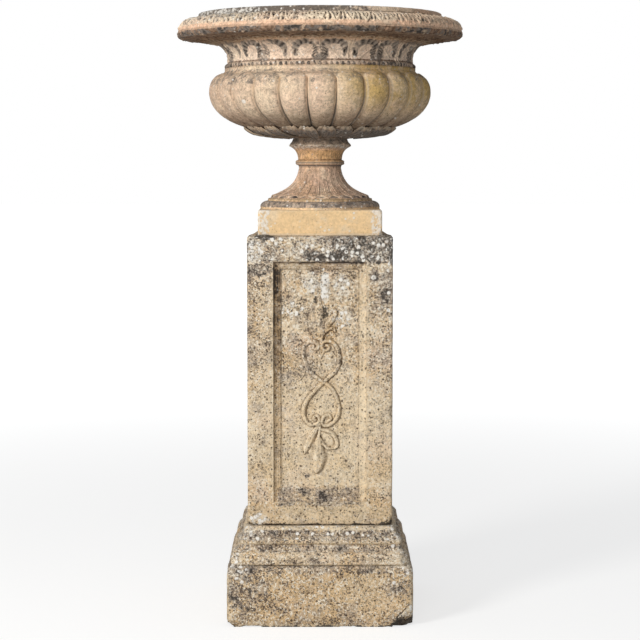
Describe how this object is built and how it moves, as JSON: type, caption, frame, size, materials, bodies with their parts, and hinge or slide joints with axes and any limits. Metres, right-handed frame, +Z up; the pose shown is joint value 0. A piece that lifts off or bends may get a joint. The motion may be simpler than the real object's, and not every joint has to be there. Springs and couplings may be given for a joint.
{
  "type": "garden urn on pillar",
  "caption": "Wide gadrooned garden urn on a flared foot, standing on a square panelled pillar with a moulded base.",
  "frame": {"origin": "on the ground at the middle of the base block's underside", "axes": "+Z up, -Y towards the viewer of the front panel, +X to that viewer's right"},
  "size_m": [0.6329, 0.633, 1.336],
  "materials": {
    "base_stone": "weathered composition stone, pitted and lichened",
    "shaft_stone": "weathered composition stone, pitted and lichened",
    "foot_terracotta": "unglazed ochre terracotta, lime crust at the edges",
    "bowl_terracotta": "unglazed buff terracotta, stained and lichened"
  },
  "bodies": {
    "base": {"base_block": "base_stone"},
    "shaft_course": {"shaft": "shaft_stone"},
    "foot_course": {"urn_foot": "foot_terracotta"},
    "bowl_course": {"urn_bowl": "bowl_terracotta"}
  },
  "joints": [
    {"name": "shaft_lift", "type": "slide", "parent": "base", "child": "shaft_course", "axis": [0, 0, 1], "range_m": [0, 0.12]},
    {"name": "foot_lift", "type": "slide", "parent": "shaft_course", "child": "foot_course", "axis": [0, 0, 1], "range_m": [0, 0.12]},
    {"name": "bowl_lift", "type": "slide", "parent": "foot_course", "child": "bowl_course", "axis": [0, 0, 1], "range_m": [0, 0.15]}
  ]
}
